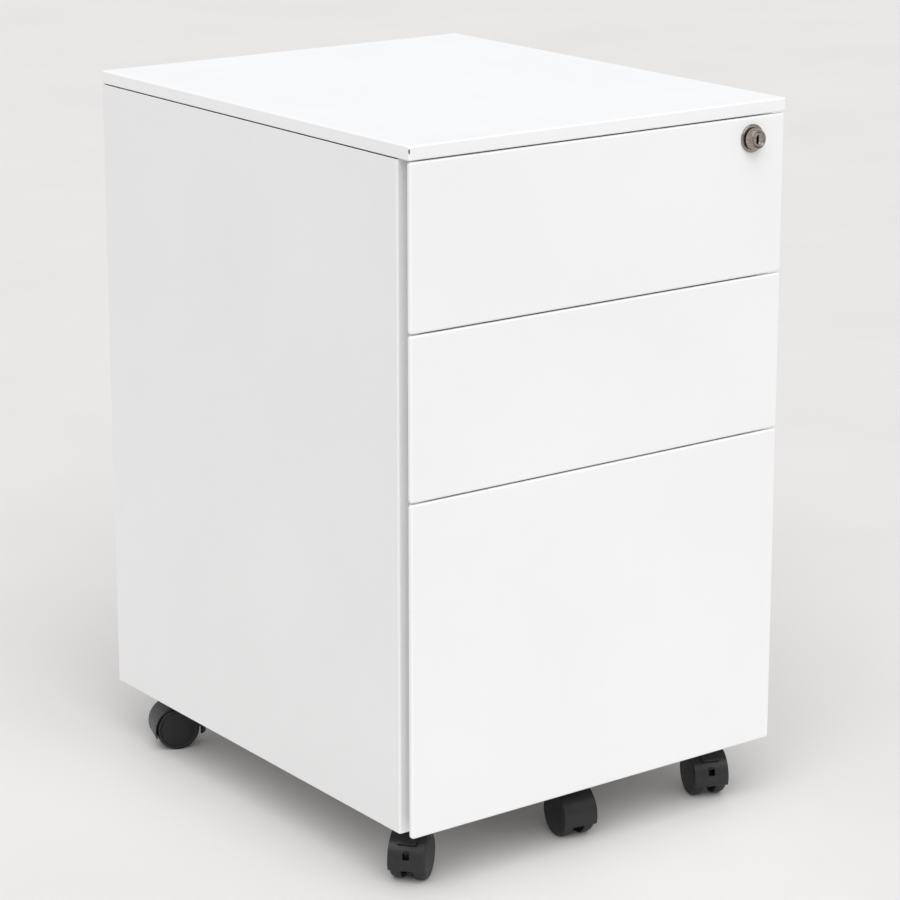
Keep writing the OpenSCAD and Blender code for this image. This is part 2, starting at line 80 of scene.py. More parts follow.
def rounded_rect(u0, u1, v0, v1, radius, steps=5):
    corners = [((u1 - radius, v0 + radius), -90), ((u1 - radius, v1 - radius), 0),
               ((u0 + radius, v1 - radius), 90), ((u0 + radius, v0 + radius), 180)]
    return [p for centre, start in corners for p in arc(centre, radius, start, start + 90, steps)]


def circle(centre, radius, steps=48):
    return arc(centre, radius, 0, 360, steps)[:-1]


def fold_line(path, radius, steps=5):
    """A polyline with rounded corners, as (point, normal) pairs. The normal is to the left."""
    points = [Vector(p) for p in path]
    line = []
    for i, p in enumerate(points):
        before = (p - points[i - 1]).normalized() if i > 0 else None
        after = (points[i + 1] - p).normalized() if i < len(points) - 1 else None
        if before is None or after is None:
            way = after if before is None else before
            line.append((p, Vector((-way.y, way.x))))
            continue
        turn = before.angle_signed(after) * -1
        if abs(turn) < 0.001:
            line.append((p, Vector((-before.y, before.x))))
            continue
        reach = radius * tan(abs(turn) / 2)
        side = 1 if turn > 0 else -1
        centre = p - before * reach + Vector((-before.y, before.x)) * radius * side
        for k in range(steps + 1):
            spin = Matrix.Rotation(turn * k / steps, 2)
            normal = spin @ Vector((-before.y, before.x))
            line.append((centre - normal * radius * side, normal))
    return line


# ---- Meshes ----

def shell(bm, outer, inner, keep=lambda i, j: True):
    """A solid sheet between two equal grids of points, with walls round it and round the cells left out."""
    made = {}

    def vert(side, i, j):
        key = (side, i, j)
        if key not in made:
            made[key] = bm.verts.new((outer, inner)[side][i][j])
        return made[key]

    rows, columns = len(outer) - 1, len(outer[0]) - 1
    cells = {(i, j) for i in range(rows) for j in range(columns) if keep(i, j)}
    for i, j in sorted(cells):
        corners = [(i, j), (i + 1, j), (i + 1, j + 1), (i, j + 1)]
        neighbours = [(i, j - 1), (i + 1, j), (i, j + 1), (i - 1, j)]
        bm.faces.new([vert(0, *c) for c in corners])
        bm.faces.new([vert(1, *c) for c in reversed(corners)])
        for k, neighbour in enumerate(neighbours):
            if neighbour not in cells:
                a, b = corners[k], corners[(k + 1) % 4]
                bm.faces.new([vert(0, *b), vert(0, *a), vert(1, *a), vert(1, *b)])


def folded_strip(bm, path, thickness, bend, levels, place, keep=lambda i, j: True):
    """A sheet folded along a path, which is the middle of its thickness, and run through the levels.
    keep(i, j) says whether the piece between point i and i + 1, at level j, is there."""
    line = fold_line(path, max(bend - thickness / 2, thickness / 2 + 0.05 * MM))
    grids = []
    for side in (1, -1):
        skin = [p + n * side * thickness / 2 for p, n in line]
        grids.append([[place(p.x, p.y, level) for level in levels] for p in skin])
    shell(bm, *grids, keep)


def strip_ring(bm, a, b):
    """Joins two closed rings of verts with faces."""
    for k in range(len(a)):
        bm.faces.new([a[k - 1], a[k], b[k], b[k - 1]])


def flat_cap(bm, ring, holes=()):
    """Fills a closed ring of verts round the holes, which are rings too."""
    if not holes:
        bm.faces.new(ring)
        return
    edges = []
    for loop in [ring, *holes]:
        for k in range(len(loop)):
            pair = (loop[k - 1], loop[k])
            edges.append(bm.edges.get(pair) or bm.edges.new(pair))
    bmesh.ops.triangle_fill(bm, edges=edges, use_beauty=True)


def pan(bm, rect, corner, profile, place, holes=()):
    """A tray of sheet metal: rings of a rounded rectangle at each (inset, depth) of the profile, closed by
    its outer face at the first ring and its inner one at the last. Holes are (u, v, radius)."""
    u0, u1, v0, v1 = rect
    rings = []
    for inset, depth in profile:
        radius = max(corner - inset, 0.25 * MM)
        outline = rounded_rect(u0 + inset, u1 - inset, v0 + inset, v1 - inset, radius)
        rings.append([bm.verts.new(place(u, v, depth)) for u, v in outline])
    for a, b in zip(rings, rings[1:]):
        strip_ring(bm, a, b)
    bored = []
    for ring, depth in ((rings[0], profile[0][1]), (rings[-1], profile[-1][1])):
        loops = [[bm.verts.new(place(*p, depth)) for p in circle((u, v), r)] for u, v, r in holes]
        flat_cap(bm, ring, loops)
        bored.append(loops)
    for front, back in zip(*bored):
        strip_ring(bm, front, back)


def lathe(bm, profile, place, steps=72, closed=True):
    """Turns a profile of (radius, height) about an axis. place gives the point at (u, v, height)."""
    rings = []
    for radius, height in profile:
        if radius == 0:
            rings.append([bm.verts.new(place(0, 0, height))])
        else:
            rings.append([bm.verts.new(place(*p, height)) for p in circle((0, 0), radius, steps)])
    pairs = list(zip(rings, rings[1:]))
    if closed:
        pairs.append((rings[-1], rings[0]))
    for a, b in pairs:
        if len(a) == 1 and len(b) == 1:
            continue
        if len(a) > 1 and len(b) > 1:
            strip_ring(bm, a, b)
            continue
        tip, ring = (a, b) if len(a) == 1 else (b, a)
        for k in range(len(ring)):
            bm.faces.new([tip[0], ring[k - 1], ring[k]])


def prism(bm, outline, low, high, place):
    """A plate with that outline, from one level to another."""
    ends = [[bm.verts.new(place(u, v, level)) for u, v in outline] for level in (low, high)]
    strip_ring(bm, *ends)
    for end in ends:
        bm.faces.new(end)


# ---- Pieces ----

def shade(obj):
    obj.data.shade_smooth()
    obj.data.set_sharp_from_angle(angle=radians(SHARP))


def round_edges(obj, width, segments=2, angle=SHARP):
    """Rounds the sharp edges and keeps the flat faces flat."""
    bevel = obj.modifiers.new("rounded", "BEVEL")
    bevel.width = width
    bevel.segments = segments
    bevel.limit_method = "ANGLE"
    bevel.angle_limit = radians(angle)
    bevel.harden_normals = True
    return bevel


def keep_flat(obj):
    """Makes the large flat faces set the shading of the narrow ones beside them."""
    weighted = obj.modifiers.new("flat", "WEIGHTED_NORMAL")
    weighted.mode = "FACE_AREA"
    weighted.keep_sharp = True


def to_mesh(bm, name="part"):
    """Cleans the mesh up and hands it over to Blender."""
    bmesh.ops.remove_doubles(bm, verts=bm.verts, dist=0.001 * MM)
    bmesh.ops.recalc_face_normals(bm, faces=bm.faces)
    mesh = bpy.data.meshes.new(name)
    bm.to_mesh(mesh)
    bm.free()
    return mesh


def combined(parts, operation, edge=0):
    """Rounds each part's edges and joins the others to the first, or cuts them out of it."""
    objects = []
    for bm in parts:
        obj = bpy.data.objects.new("part", to_mesh(bm))
        bpy.context.scene.collection.objects.link(obj)
        if edge:
            round_edges(obj, edge, 3, 35).harden_normals = False
        objects.append(obj)
    whole = objects[0]
    for other in objects[1:]:
        step = whole.modifiers.new("combine", "BOOLEAN")
        step.operation = operation
        step.solver = "EXACT"
        step.object = other
    depsgraph = bpy.context.evaluated_depsgraph_get()
    mesh = bpy.data.meshes.new_from_object(whole.evaluated_get(depsgraph))
    for obj in objects:
        bpy.data.objects.remove(obj)
    return mesh


def fused(parts, edge):
    return combined(parts, "UNION", edge)


def carved(bm, cutter):
    return combined([bm, cutter], "DIFFERENCE")


def piece(name, bm, body, node, slot, edge=CUT_EDGE):
    placed(name, to_mesh(bm, name), body, node, slot, edge)


def placed(name, mesh, body, node, slot, edge=CUT_EDGE, place=None):
    """Turns the mesh into a piece that rides on the body and stands for the CAD node."""
    obj = bpy.data.objects.new(name, mesh)
    bpy.context.scene.collection.objects.link(obj)
    if place is not None:
        obj.matrix_world = place
    if not mesh.materials:
        mesh.materials.append(MATERIALS[slot])
        shade(obj)
    if edge:
        round_edges(obj, edge)
    keep_flat(obj)
    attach(obj, body)
    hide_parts(node)


# ---- Materials ----

class Nodes:
    """Makes and links the nodes of a material."""

    def __init__(self, name):
        self.material = bpy.data.materials.new(name)
        self.material.use_nodes = True
        self.tree = self.material.node_tree
        self.shader = self.tree.nodes["Principled BSDF"]
        self.where = self.add("ShaderNodeTexCoord").outputs["Object"]

    def add(self, kind, **settings):
        node = self.tree.nodes.new(kind)
        for key, value in settings.items():
            if hasattr(node, key):
                setattr(node, key, value)
            else:
                node.inputs[key].default_value = value
        return node

    def link(self, source, target):
        self.tree.links.new(source, target)

    def noise(self, size, detail=2.0, roughness=0.5, where=None):
        """Noise whose features are about that many metres across."""
        node = self.add("ShaderNodeTexNoise", Scale=1 / size, Detail=detail, Roughness=roughness)
        self.link(where or self.where, node.inputs["Vector"])
        return node.outputs["Fac"]

    def stretched(self, x, y, z):
        """Object coordinates scaled along each axis."""
        node = self.add("ShaderNodeMapping")
        node.inputs["Scale"].default_value = (x, y, z)
        self.link(self.where, node.inputs["Vector"])
        return node.outputs["Vector"]

    def spread(self, factor, low, high, start=0.3, end=0.7):
        """A number from low to high as the factor goes from start to end."""
        node = self.add("ShaderNodeMapRange")
        for key, value in (("From Min", start), ("From Max", end), ("To Min", low), ("To Max", high)):
            node.inputs[key].default_value = value
        self.link(factor, node.inputs["Value"])
        return node.outputs["Result"]

    def mix(self, factor, a, b):
        """A colour between a and b. Each is a colour or another node's output."""
        node = self.add("ShaderNodeMix", data_type="RGBA")
        self.link(factor, node.inputs["Factor"])
        for key, value in ((6, a), (7, b)):
            if isinstance(value, tuple):
                node.inputs[key].default_value = (*value, 1)
            else:
                self.link(value, node.inputs[key])
        return node.outputs[2]

    def chip(self, colour, at, size, primer):
        """The colour with a small ragged chip down to the primer."""
        scaled = self.add("ShaderNodeMapping")
        scaled.inputs["Location"].default_value = [-p / length for p, length in zip(at, size)]
        scaled.inputs["Scale"].default_value = [1 / length for length in size]
        self.link(self.where, scaled.inputs["Vector"])
        away = self.add("ShaderNodeVectorMath", operation="LENGTH")
        self.link(scaled.outputs["Vector"], away.inputs[0])
        ragged = self.add("ShaderNodeMath", operation="ADD")
        self.link(away.outputs["Value"], ragged.inputs[0])
        self.link(self.noise(0.8 * MM), ragged.inputs[1])
        return self.mix(self.spread(ragged.outputs[0], 1, 0, 1.3, 1.5), colour, primer)

    def bump(self, height, distance, strength=1.0, under=None):
        node = self.add("ShaderNodeBump", Strength=strength, Distance=distance)
        self.link(height, node.inputs["Height"])
        if under is not None:
            self.link(under, node.inputs["Normal"])
        return node.outputs["Normal"]

    def finish(self, colour, roughness, normal, **constants):
        self.link(colour, self.shader.inputs["Base Color"])
        self.link(roughness, self.shader.inputs["Roughness"])
        self.link(normal, self.shader.inputs["Normal"])
        for key, value in constants.items():
            self.shader.inputs[key.replace("_", " ")].default_value = value
        return self.material


def powder_coat(name, light, dark, chip_at=None):
    """Semi-matt powder coat: fine orange peel on a slightly uneven colour, with a chip if asked for."""
    n = Nodes(name)
    colour = n.mix(n.spread(n.noise(0.18, 4), 0, 1), dark, light)
    if chip_at is not None:
        colour = n.chip(colour, chip_at, (0.9 * MM, 0.9 * MM, 2.2 * MM), (0.16, 0.10, 0.07))
    roughness = n.spread(n.noise(0.02, 3), 0.40, 0.50)
    peel = n.bump(n.noise(1.6 * MM, 1.5), 0.05 * MM, 0.6)
    grain = n.bump(n.noise(0.35 * MM, 2), 0.012 * MM, 0.5, peel)
    return n.finish(colour, roughness, grain, IOR=1.5)


def zinc(name):
    """Bright zinc plating, slightly brushed along the slides, with cloudy patches."""
    n = Nodes(name)
    brushed = n.noise(0.5 * MM, 3, where=n.stretched(1, 0.04, 1))
    cloud = n.noise(0.03, 4)
    colour = n.mix(n.spread(cloud, 0, 1), (0.50, 0.51, 0.53), (0.64, 0.65, 0.67))
    roughness = n.spread(brushed, 0.26, 0.42)
    return n.finish(colour, roughness, n.bump(brushed, 0.01 * MM, 0.5), Metallic=1.0)


def nickel(name):
    """Nickel plating with random tarnish and fine turning marks; its dark, brown base colour is a painted
    reflection of dark surroundings.
    """
    n = Nodes(name)
    tarnish = n.noise(2.5 * MM, 4, 0.6)
    # Both colours are darker and browner than bare nickel: painted reflection of dark brown surroundings,
    # with random tarnish between them.
    colour = n.mix(n.spread(tarnish, 0, 1), (0.22, 0.185, 0.16), (0.42, 0.37, 0.325))
    fine = n.noise(0.25 * MM, 3)
    roughness = n.spread(fine, 0.16, 0.30)
    return n.finish(colour, roughness, n.bump(fine, 0.006 * MM, 0.5), Metallic=1.0)


def moulded(name, light, dark, gloss):
    """Moulded plastic: a faint spark-eroded grain, dust and uneven gloss."""
    n = Nodes(name)
    colour = n.mix(n.spread(n.noise(0.012, 4, 0.6), 0, 1), dark, light)
    roughness = n.spread(n.noise(3 * MM, 3), gloss, gloss + 0.12)
    return n.finish(colour, roughness, n.bump(n.noise(0.35 * MM, 2), 0.02 * MM, 0.5), IOR=1.5)


TOP_LOW, TOP_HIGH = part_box("top_plate")
MATERIALS = {
    "front_paint": powder_coat("white_powder_coat", (0.885, 0.885, 0.885), (0.860, 0.860, 0.862),
                               (TOP_LOW.x + 0.4 * MM, TOP_LOW.y + 0.4 * MM, TOP_HIGH.z - 4 * MM)),
    # The body's coat is a darker, warmer copy of the fronts' white: painted shade on the sides and a painted
    # warm bounce from the floor.
    "body_paint": powder_coat("white_powder_coat_body_shaded", (0.850, 0.848, 0.845), (0.828, 0.824, 0.820)),
    "zinc_steel": zinc("zinc_plated_steel"),
    "lock_nickel": nickel("nickel_plate_painted_reflection"),
    "caster_plastic": moulded("black_nylon_hood", (0.012, 0.0125, 0.014), (0.007, 0.007, 0.0075), 0.33),
    # The wheels get a darker black than the hood, though both are the same plastic: painted shade on the
    # wheels' faces.
    "wheel_plastic": moulded("black_nylon_wheel_shaded", (0.007, 0.007, 0.0075), (0.004, 0.004, 0.0045), 0.38),
    "grey_plastic": moulded("grey_acetal", (0.20, 0.21, 0.22), (0.15, 0.155, 0.165), 0.4),
}


# ---- Drawer fronts and top plate ----

def edge_profile(depth, hem, bend):
    """(inset, depth) points round a folded edge: face, edge, hem, and back inside."""
    near, far = (bend, bend), (bend, depth - bend)
    inside = bend - SHEET
    return (arc(near, bend, -90, -180) + arc(far, bend, 180, 90) + [(hem, depth), (hem, depth - SHEET)]
            + arc(far, inside, 90, 180) + arc(near, inside, 180, 270))


def drawer_front(row):
    low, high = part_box(f"drawer_front_{row}")
    bm = bmesh.new()
    holes = []
    if row == "top":
        holes = [(LOCK.x, LOCK.z, 8 * MM)]
    pan(bm, (low.x, high.x, low.z, high.z), CORNER, edge_profile(high.y - low.y, FRONT_HEM, BEND),
        lambda u, v, d: (u, low.y + d, v), holes)
    piece(f"painted_front_{row}", bm, f"drawer_{row}", f"drawer_front_{row}", "front_paint")


def top_plate():
    bm = bmesh.new()
    pan(bm, (TOP_LOW.x, TOP_HIGH.x, TOP_LOW.y, TOP_HIGH.y), 1.6 * MM,
        edge_profile(TOP_HIGH.z - TOP_LOW.z, TOP_LIP, 1.3 * MM), lambda u, v, d: (u, v, TOP_HIGH.z - d))
    piece("painted_top", bm, "cabinet", "top_plate", "front_paint")


# ---- Side panels and trays ----

POST_W = 15 * MM
POST_DEPTH = 10 * MM
POST_SLOT_END = 7 * MM  # how far back the slots in the post go
REAR_FLANGE = 15 * MM


def side_panel(side):
    """The side with its folded front post and rear flange. The right post has slots for the lock bar."""
    name = "right" if side > 0 else "left"
    low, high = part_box(f"side_panel_{name}")
    outside = max(abs(low.x), abs(high.x)) - SHEET / 2
    front, back = low.y + SHEET / 2, high.y - SHEET / 2
    inner = outside - (POST_W - SHEET)
    path = [(inner, low.y + POST_DEPTH), (inner, low.y + POST_SLOT_END), (inner, front),
            (outside, front), (outside, back), (outside - REAR_FLANGE + SHEET / 2, back)]
    slots = [(z - 7.5 * MM, z + 10 * MM) for z in CATCHES]
    slots.append((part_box("lock_cam")[0].z, LOCK.z + 7 * MM))
    levels = sorted({low.z, high.z, *(z for slot in slots for z in slot)})

    def solid(i, j):
        middle = (levels[j] + levels[j + 1]) / 2
        return side < 0 or i != 1 or not any(a < middle < b for a, b in slots)

    bm = bmesh.new()
    folded_strip(bm, path, SHEET, BEND, levels, lambda u, v, z: (side * u, v, z), solid)
    piece(f"painted_side_{name}", bm, "cabinet", f"side_panel_{name}", "body_paint")


def drawer_tray(row):
    low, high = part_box(f"drawer_tray_{row}")
    hem = 1.4 * MM
    bend = hem / 2
    half = high.x - hem
    height = high.z - low.z
    near = (BEND, BEND)
    profile = (arc(near, BEND, -90, -180)
               + [(0, height - CUT_EDGE), (SHEET / 2, height), (SHEET, height - CUT_EDGE)]
               + arc(near, BEND - SHEET, 180, 270))
    bm = bmesh.new()
    pan(bm, (-half, half, low.y, high.y), BEND, profile, lambda u, v, d: (u, v, low.z + d))
    ends = (low.y + BEND, high.y - BEND)
    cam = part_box("lock_cam")[0]
    notch_end = cam.y + 6 * MM
    for side in (1, -1):
        bead = ([(half - SHEET / 2, high.z - TRAY_HEM)] + [(half + hem - CUT_EDGE, high.z - TRAY_HEM)]
                + arc((half + hem - bend, high.z - bend), bend, 0, 90)
                + [(half - SHEET / 2, high.z)])
        start = notch_end if row == "top" and side > 0 else ends[0]
        prism(bm, bead, start, ends[1], lambda u, v, y, s=side: (s * u, y, v))
    if row == "top":
        notch = bmesh.new()
        outline = rounded_rect(low.y + SHEET, notch_end, cam.z - MM, high.z + 5 * MM, MM)
        prism(notch, outline, half - 3 * MM, half + 3 * MM, lambda u, v, x: (x, u, v))
        placed("painted_tray_top", carved(bm, notch), "drawer_top", "drawer_tray_top", "body_paint", edge=0)
    else:
        piece(f"painted_tray_{row}", bm, f"drawer_{row}", f"drawer_tray_{row}", "body_paint", edge=0)


# ---- Slides ----

SLIDE_LIP = 4.6 * MM


def channel(part, row, body, depth):
    """A rolled channel on each side of a drawer. The inner ones open outwards and have no lips."""
    node = f"slides_{part}_{row}"
    low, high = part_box(node)
    left, right = high.x - depth, high.x
    t = SLIDE_SHEET / 2
    bottom, top = low.z + t, high.z - t
    if part == "inner":
        path = [(right, bottom), (left + t, bottom), (left + t, top), (right, top)]
    else:
        path = [(left + t, low.z + SLIDE_LIP), (left + t, bottom), (right - t, bottom),
                (right - t, top), (left + t, top), (left + t, high.z - SLIDE_LIP)]
    bm = bmesh.new()
    for side in (1, -1):
        folded_strip(bm, path, SLIDE_SHEET, 1.5 * MM, [low.y, high.y],
                     lambda u, v, y, s=side: (s * u, y, v))
    piece(f"zinc_{node}", bm, body, node, "zinc_steel")


def slides():
    for row in ("top", "middle", "file"):
        channel("outer", row, "cabinet", 11.1 * MM)
        channel("inner", row, f"drawer_{row}", (6.5 if row == "file" else 9.5) * MM)
    channel("middle", "file", "slide_middle_file", 8.4 * MM)


# ---- Lock ----

LOCK_LOW, LOCK_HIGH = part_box("lock_housing")
LOCK = (LOCK_LOW + LOCK_HIGH) / 2


def lock_housing():
    """The tapered nose, a groove at its foot, the flange and the shank behind the front."""
    nose_y = LOCK_LOW.y
    face_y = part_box("drawer_front_top")[0].y
    bore, shank = 6.3 * MM, 8 * MM
    nose, foot, groove = 8.2 * MM, 9.45 * MM, 7.6 * MM
    flange = (LOCK_HIGH.x - LOCK_LOW.x) / 2
    profile = ([(bore, nose_y + 0.5 * MM), (bore + 0.35 * MM, nose_y + 0.08 * MM),
                (bore + 0.6 * MM, nose_y)]
               + arc((nose - 0.6 * MM, nose_y + 0.6 * MM), 0.6 * MM, -90, -12)
               + arc((foot - 0.3 * MM, face_y - 3.3 * MM), 0.3 * MM, -12, 90, 4)
               + [(groove, face_y - 3 * MM), (groove, face_y - 2 * MM)]
               + arc((flange - 0.8 * MM, face_y - 1.2 * MM), 0.8 * MM, -90, 0)
               + [(flange, face_y), (shank, face_y), (shank, LOCK_HIGH.y), (bore, LOCK_HIGH.y)])
    bm = bmesh.new()
    lathe(bm, profile, lambda u, v, y: (LOCK.x + u, y, LOCK.z + v), 96)
    piece("lock_body", bm, "drawer_top", "lock_housing", "lock_nickel", edge=0)


def lock_plug():
    """The plug with its dished keyway, and the square at its back that carries the cam."""
    low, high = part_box("lock_plug")
    radius = 6.2 * MM
    square = 3.5 * MM
    square_y = high.y - 2 * MM

    def place(u, v, y):
        return (LOCK.x + u, y, LOCK.z + v)

    bm = bmesh.new()
    profile = [(5.6 * MM, low.y + 0.3 * MM), (5.8 * MM, low.y + 0.1 * MM), (6.0 * MM, low.y + 0.02 * MM),
               (radius, low.y + 0.2 * MM), (radius, square_y)]
    rings = []
    for r, y in profile:
        rings.append([bm.verts.new(place(*p, y)) for p in circle((0, 0), r, 72)])
    for a, b in zip(rings, rings[1:]):
        strip_ring(bm, a, b)
    bm.faces.new(rings[-1])
    slot = []
    for half, tall, y in ((2.6, 3.9, 0.3), (2.3, 3.8, 0.65), (1.2, 3.5, 1.3), (1.2, 3.5, 7)):
        outline = rounded_rect(-half * MM, half * MM, -tall * MM, tall * MM, half * 0.9 * MM)
        slot.append([bm.verts.new(place(*p, low.y + y * MM)) for p in outline])
    for a, b in zip(slot, slot[1:]):
        strip_ring(bm, a, b)
    bm.faces.new(slot[-1])
    flat_cap(bm, rings[0], [slot[0]])
    prism(bm, rounded_rect(-square, square, -square, square, 0.3 * MM), square_y - 0.2 * MM, high.y, place)
    piece("lock_core", bm, "lock_plug", "lock_plug", "lock_nickel", edge=0)


# ---- Casters ----
# In a caster's own frame the swivel axis is the Z axis and the wheels trail towards +X.
# Angles are in degrees about the axle, up from the trailing side.

TRAIL = 14 * MM
WHEEL_R = 20 * MM
WHEEL_IN = 5.25 * MM  # from the middle to a wheel's inner face
WHEEL_OUT = 15.75 * MM
WHEEL_BORE = 2.6 * MM
SPINE_HALF = 2.5 * MM
SPINE_CUT_R = 13 * MM  # the spine's edge under the hole and the slot
HUB_R = 6.5 * MM
HUB_HALF = 4.9 * MM  # between the hub's flats, beside the wheels
HUB_LOW = 12 * MM
BOSS_R = 14.5 * MM
BOSS_LOW, BOSS_HIGH = 40.7 * MM, 49.5 * MM
AXLE_BOSS_R = 6 * MM
APRON_IN = 13 * MM
APRON_START = 123.5  # degrees about the swivel axis
HOOD_IN = 20.7 * MM
HOOD_OUT = 22 * MM
COVER = (-20, 125)
HOLE = (7.7, 22.3)
HOLE_HALF = 2.8 * MM
SLOT = (52, 84)
SLOT_HALF = 2.2 * MM
LEVER_PARTS = (  # inner and outer radius in mm, start and end angle, half width in mm
    (22.35, 23.8, 42, 80, 8),  # pedal
    (22.4, 25.6, 40, 46, 8),  # rib
    (20.2, 22.9, 70, 78, 1.5),  # tongue
)


def about_axle(r, angle, y):
    a = radians(angle)
    return (TRAIL + r * cos(a), y, WHEEL_R + r * sin(a))


def steps_between(low, high, size, stops=()):
    """Values from low to high in steps of about that size, with the stops among them."""
    marks = [low, *sorted(s for s in stops if low < s < high), high]
    values = [low]
    for a, b in zip(marks, marks[1:]):
        count = max(1, round((b - a) / size))
        values += [a + (b - a) * k / count for k in range(1, count + 1)]
    return values


def curved_plate(bm, r_in, r_out, angles, widths, keep=lambda a, y: True):
    """A plate bent about the axle. keep(angle, y) is asked at the middle of each cell."""
    grids = [[[about_axle(r, a, y) for y in widths] for a in angles] for r in (r_out, r_in)]
    shell(bm, *grids, lambda i, j: keep((angles[i] + angles[i + 1]) / 2, (widths[j] + widths[j + 1]) / 2))


def upright(u, v, z):
    return (u, v, z)


def across(u, v, y):
    return (TRAIL + u, y, WHEEL_R + v)


def spine_outline(brake):
    """The web between the wheels, cut back under the cover's hole and slot."""
    stops = [COVER[0] + 4, *HOLE, *SLOT, COVER[1] + 40]
    outline = [(0, 0)]
    for k, (a, b) in enumerate(zip(stops, stops[1:])):
        radius = SPINE_CUT_R if brake and k % 2 else HOOD_OUT - 0.7 * MM
        outline += arc((0, 0), radius, a, b, max(2, round((b - a) / 5)))
    return outline


def hood_mesh(brake):
    """The cover over both wheels, the spine between them, the swivel socket and the apron round its front.
    The cover of a braking caster has a square hole with a small catch above it, and a slot for the lever."""
    stops = (-HOLE_HALF, HOLE_HALF, -SLOT_HALF, SLOT_HALF) if brake else ()
    widths = steps_between(-WHEEL_OUT, WHEEL_OUT, 4 * MM, stops)
    angles = steps_between(*COVER, 4, (*HOLE, *SLOT) if brake else ())

    def covered(angle, y):
        in_hole = HOLE[0] < angle < HOLE[1] and abs(y) < HOLE_HALF
        in_slot = SLOT[0] < angle < SLOT[1] and abs(y) < SLOT_HALF
        return not (brake and (in_hole or in_slot))

    cover = bmesh.new()
    curved_plate(cover, HOOD_IN, HOOD_OUT, angles, widths, covered)
    spine = bmesh.new()
    prism(spine, spine_outline(brake), -SPINE_HALF, SPINE_HALF, across)
    hub = bmesh.new()
    flat = degrees(asin(HUB_HALF / HUB_R))
    socket = [*arc((0, 0), HUB_R, -flat, flat, 12), *arc((0, 0), HUB_R, 180 - flat, 180 + flat, 12)]
    prism(hub, socket, HUB_LOW, BOSS_LOW + 0.3 * MM, upright)
    boss = bmesh.new()
    disc = [(0, BOSS_LOW), (BOSS_R, BOSS_LOW), (BOSS_R, BOSS_HIGH), (0, BOSS_HIGH)]
    lathe(boss, disc, upright, 64, False)
    axle_boss = bmesh.new()
    disc = [(0, -SPINE_HALF), (AXLE_BOSS_R, -SPINE_HALF), (AXLE_BOSS_R, SPINE_HALF), (0, SPINE_HALF)]
    lathe(axle_boss, disc, across, 40, False)
    apron = bmesh.new()
    turns = [radians(a) for a in steps_between(APRON_START, 360 - APRON_START, 5)]
    grids = [[[(r * cos(a), r * sin(a), z) for z in (HUB_LOW, BOSS_LOW + 0.5 * MM)] for a in turns]
             for r in (BOSS_R, APRON_IN)]
    shell(apron, *grids)
    parts = [cover, spine, hub, boss, axle_boss, apron]
    if brake:
        catch = bmesh.new()
        start, end = HOLE[1] + 0.4, HOLE[1] + 5.4
        corners = ((21.2, start), (23.4, start), (22.3, end), (21.2, end))
        wedge = [arc((0, 0), r * MM, a, a, 1)[0] for r, a in corners]
        prism(catch, wedge, 0.2 * MM - HOLE_HALF, HOLE_HALF - 0.2 * MM, across)
        parts.append(catch)
    return fused(parts, 0.4 * MM)


def wheel_mesh(side):
    """A wheel with a rounded tread, a shallow step near the rim and a slightly domed face."""
    rim, inner, outer = WHEEL_R, WHEEL_IN, WHEEL_OUT
    profile = ([(WHEEL_BORE, inner), (5.5 * MM, inner), (5.5 * MM, inner + 3 * MM),
                (rim - 3.5 * MM, inner + 3 * MM), (rim - 3.5 * MM, inner)]
               + arc((rim - 0.8 * MM, inner + 0.8 * MM), 0.8 * MM, -90, 0, 4)
               + arc((rim - 3 * MM, outer - 3.2 * MM), 3 * MM, 0, 78, 8)
               + [(rim - 3.2 * MM, outer - 0.42 * MM), (rim - 3.5 * MM, outer - 0.75 * MM),
                  (rim - 3.9 * MM, outer - 0.75 * MM), (rim - 4.2 * MM, outer - 0.4 * MM),
                  (rim / 2, outer - 0.12 * MM), (4 * MM, outer - 0.02 * MM), (0, outer),
                  (0, outer - 3.6 * MM), (WHEEL_BORE, outer - 3.6 * MM)])
    bm = bmesh.new()
    lathe(bm, profile, lambda u, v, y: (TRAIL + u, side * y, WHEEL_R + v), 96)
    return to_mesh(bm, "wheel")


def lever_mesh():
    """The pedal, its rib and the tongue that goes down through the cover."""
    parts = []
    for r_in, r_out, start, end, half in LEVER_PARTS:
        bm = bmesh.new()
        curved_plate(bm, r_in * MM, r_out * MM, steps_between(start, end, 3), [-half * MM, half * MM])
        parts.append(bm)
    return fused(parts, 0.5 * MM)


CASTERS = ["front_left", "front_right", "middle", "back_left", "back_right"]


def caster_place(caster):
    """Where a caster's own frame is, from the CAD joint's anchor and the axle's box."""
    joint = next(j for j in frame["joints"] if j["name"] == f"swivel_{caster}")
    origin = Vector(joint["pos_m"])
    wheel_low, wheel_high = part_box(f"axle_{caster}")
    way = (wheel_low + wheel_high) / 2 - origin
    spin = Vector((1, 0)).angle_signed(Vector((way.x, way.y))) * -1
    return Matrix.Translation((origin.x, origin.y, 0)) @ Matrix.Rotation(spin, 4, "Z")


def casters():
    hoods = {brake: hood_mesh(brake) for brake in (True, False)}
    wheels = {side: wheel_mesh(side) for side in (1, -1)}
    lever = lever_mesh()
    for caster in CASTERS:
        place = caster_place(caster)
        brake = caster.startswith("front")
        placed(f"moulded_hood_{caster}", hoods[brake], f"swivel_{caster}", f"hood_{caster}",
               "caster_plastic", 0, place)
        for side, letter in ((1, "a"), (-1, "b")):
            placed(f"moulded_wheel_{letter}_{caster}", wheels[side], f"wheel_{letter}_{caster}",
                   f"wheel_{letter}_{caster}", "wheel_plastic", 0, place)
        if brake:
            which = caster.split("_")[1]
            placed(f"moulded_lever_{which}", lever, f"brake_{which}", f"brake_lever_{which}",
                   "caster_plastic", 0, place)


# ---- CAD nodes that stay ----

